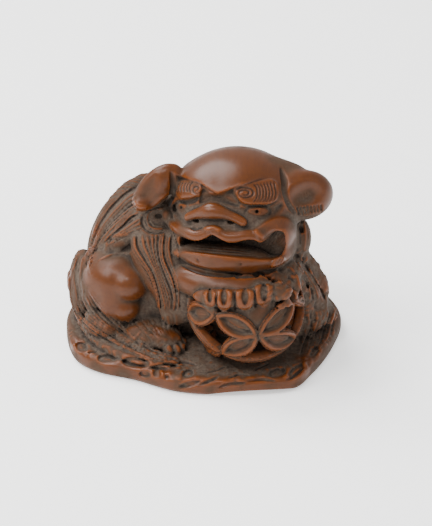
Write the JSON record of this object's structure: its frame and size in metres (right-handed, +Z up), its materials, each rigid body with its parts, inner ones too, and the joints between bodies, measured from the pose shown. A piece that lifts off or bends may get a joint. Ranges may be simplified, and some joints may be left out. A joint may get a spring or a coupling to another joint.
{
  "type": "netsuke",
  "caption": "Carved wooden netsuke of a crouching lion dog with its paw on a pierced openwork ball, on a small rug-shaped base with cord holes underneath.",
  "frame": {"origin": "on the table under the middle of the base's outline", "axes": "+Z up, -Y towards the front, where the ball is, +X to the right seen from the front"},
  "size_m": [0.0406, 0.0356, 0.0313],
  "materials": {
    "boxwood": "stained and polished, with dark matt recesses"
  },
  "bodies": {
    "root": {"netsuke": "boxwood"}
  },
  "joints": []
}
